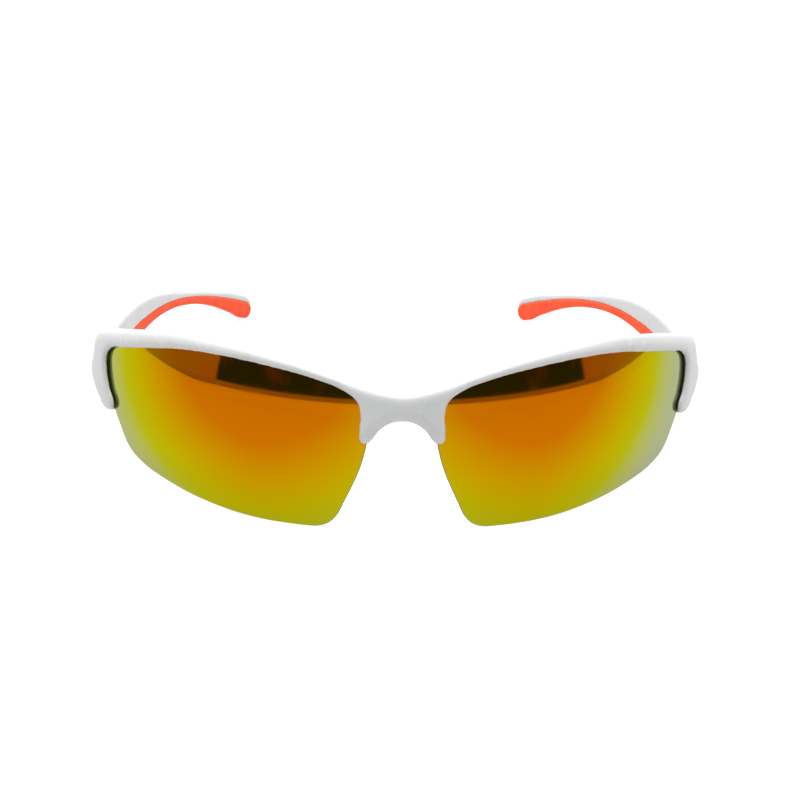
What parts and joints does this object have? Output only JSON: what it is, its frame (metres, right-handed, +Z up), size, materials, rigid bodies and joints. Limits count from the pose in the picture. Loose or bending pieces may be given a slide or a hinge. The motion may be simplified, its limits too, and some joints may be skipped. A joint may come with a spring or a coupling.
{
  "type": "wraparound sport sunglasses",
  "caption": "Wraparound sport sunglasses: half-rim frame, mirrored lenses, soft nose pads, and temples with rubber grips that fold on barrel hinges.",
  "frame": {"origin": "centre of the footprint, on the surface that the open sunglasses stand on", "axes": "+Z up; the front faces -Y and the temples run back along +Y; +X is the wearer's left"},
  "size_m": [0.1452, 0.1536, 0.0393],
  "materials": {
    "frame_white": "glossy moulded",
    "lens_mirror": "mirror coated, amber to green",
    "grip_orange": "matte soft touch",
    "soft_pad": "matte soft touch",
    "hinge_metal": "satin",
    "hinge_nylon": "natural"
  },
  "bodies": {
    "front": {"front_frame": "frame_white", "lens_left": "lens_mirror", "lens_right": "lens_mirror", "nose_pad_left": "soft_pad", "nose_pad_right": "soft_pad", "frame_hinge_leaf_left": "hinge_metal", "frame_hinge_leaf_right": "hinge_metal", "hinge_screw_left": "hinge_metal", "hinge_screw_right": "hinge_metal", "upper_hinge_washer_left": "hinge_nylon", "upper_hinge_washer_right": "hinge_nylon", "lower_hinge_washer_left": "hinge_nylon", "lower_hinge_washer_right": "hinge_nylon", "frame_upper_leaf_rivet_left": "hinge_metal", "frame_upper_leaf_rivet_right": "hinge_metal", "frame_lower_leaf_rivet_left": "hinge_metal", "frame_lower_leaf_rivet_right": "hinge_metal"},
    "left_temple": {"temple_left": "frame_white", "temple_grip_left": "grip_orange", "temple_hinge_leaf_left": "hinge_metal", "temple_upper_leaf_rivet_left": "hinge_metal", "temple_lower_leaf_rivet_left": "hinge_metal"},
    "right_temple": {"temple_right": "frame_white", "temple_grip_right": "grip_orange", "temple_hinge_leaf_right": "hinge_metal", "temple_upper_leaf_rivet_right": "hinge_metal", "temple_lower_leaf_rivet_right": "hinge_metal"}
  },
  "joints": [
    {"name": "left_temple_fold", "type": "hinge", "parent": "front", "child": "left_temple", "pos_m": [0.0642, -0.02926, 0.0249], "axis": [0, 0, 1], "range_deg": [0, 86]},
    {"name": "right_temple_fold", "type": "hinge", "parent": "front", "child": "right_temple", "pos_m": [-0.0642, -0.02926, 0.0249], "axis": [0, 0, -1], "range_deg": [0, 78]}
  ]
}
